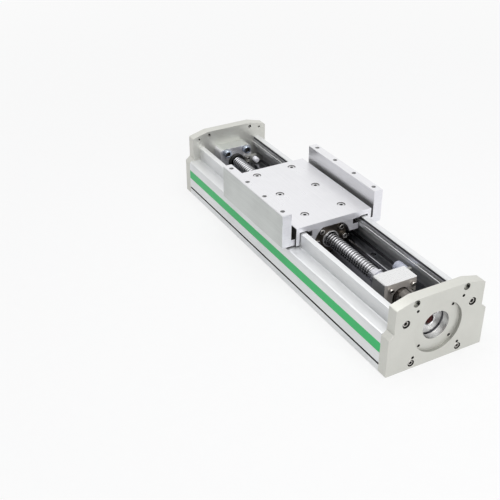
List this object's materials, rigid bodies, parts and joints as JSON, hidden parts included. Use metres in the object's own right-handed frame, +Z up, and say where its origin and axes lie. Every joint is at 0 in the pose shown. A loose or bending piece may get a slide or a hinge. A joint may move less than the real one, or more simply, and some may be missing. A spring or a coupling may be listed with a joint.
{
  "type": "ball screw linear module",
  "caption": "Extruded aluminium linear module with its cover off: a carriage on profile rails, driven by a ball screw between bearing housings, with a motor flange at one end.",
  "frame": {"origin": "centre of the footprint on the resting face", "axes": "+X along the travel towards the motor end, +Y across, +Z up"},
  "size_m": [0.564, 0.166, 0.1114],
  "materials": {
    "anodised_profile": "fine satin, clear anodised",
    "anodised_carriage": "fine satin, clear anodised",
    "plate_anodised": "bead-blasted and anodised, warm pale grey",
    "machined_block": "machined, satin",
    "hub_aluminium": "turned, satin",
    "green_strip": "smooth, slightly glossy",
    "rail_steel": "ground and polished",
    "guide_steel": "ground",
    "bearing_steel": "ground",
    "screw_chrome": "ground and polished ball thread",
    "nut_steel": "dark hardened steel, oiled",
    "screw_steel": "bright socket screws",
    "zinc_steel": "zinc-plated, slightly blue",
    "black_oxide": "black oxide",
    "black_rubber": "matte",
    "spider_rubber": "matte elastomer",
    "white_plastic": "smooth turned plastic",
    "black_plastic": "moulded, satin"
  },
  "bodies": {
    "base": {"base_extrusion": "anodised_profile", "strip_left": "green_strip", "strip_right": "green_strip", "motor_end_plate": "plate_anodised", "rear_end_plate": "plate_anodised", "motor_plate_screws": "screw_steel", "rear_plate_screws": "screw_steel", "rail_left": "rail_steel", "rail_right": "rail_steel", "rail_screws": "black_oxide", "fixed_housing": "machined_block", "fixed_housing_cover": "machined_block", "housing_cover_screws": "screw_steel", "housing_screws": "screw_steel", "fixed_bearing_outer_rings": "bearing_steel", "rear_housing": "machined_block", "rear_housing_screws": "zinc_steel", "rear_bearing_outer_ring": "bearing_steel", "rubber_ring": "black_rubber", "bumper_brackets": "machined_block", "bumper_bracket_screws": "screw_steel", "front_bumper": "white_plastic", "rear_bumper": "white_plastic"},
    "screw": {"ball_screw": "screw_chrome", "screw_collar": "bearing_steel", "bearing_inner_rings": "bearing_steel", "bearing_balls": "bearing_steel", "lock_nut": "bearing_steel", "retaining_ring": "black_oxide", "screw_hub": "hub_aluminium", "coupling_spider": "spider_rubber", "motor_hub": "hub_aluminium", "hub_clamp_screws": "screw_steel"},
    "carriage": {"carriage_table": "anodised_carriage", "saddle_left": "anodised_carriage", "saddle_right": "anodised_carriage", "table_screws": "screw_steel", "nut_bracket": "machined_block", "nut_bracket_screws": "screw_steel", "ball_nut": "nut_steel", "nut_wipers": "white_plastic", "nut_screws": "screw_steel", "guide_block_front_left": "guide_steel", "guide_block_front_right": "guide_steel", "guide_block_rear_left": "guide_steel", "guide_block_rear_right": "guide_steel", "guide_end_caps": "black_plastic", "guide_block_screws": "screw_steel"}
  },
  "joints": [
    {"name": "carriage_slide", "type": "slide", "parent": "base", "child": "carriage", "axis": [1, 0, 0], "range_m": [-0.098, 0.102]},
    {"name": "screw_spin", "type": "hinge", "parent": "base", "child": "screw", "pos_m": [0, 0, 0.051], "axis": [1, 0, 0], "range_deg": [-7400, 7400]}
  ],
  "couplings": [
    {"joint": "screw_spin", "follows": "carriage_slide", "rad_per_m": -1256.6}
  ]
}
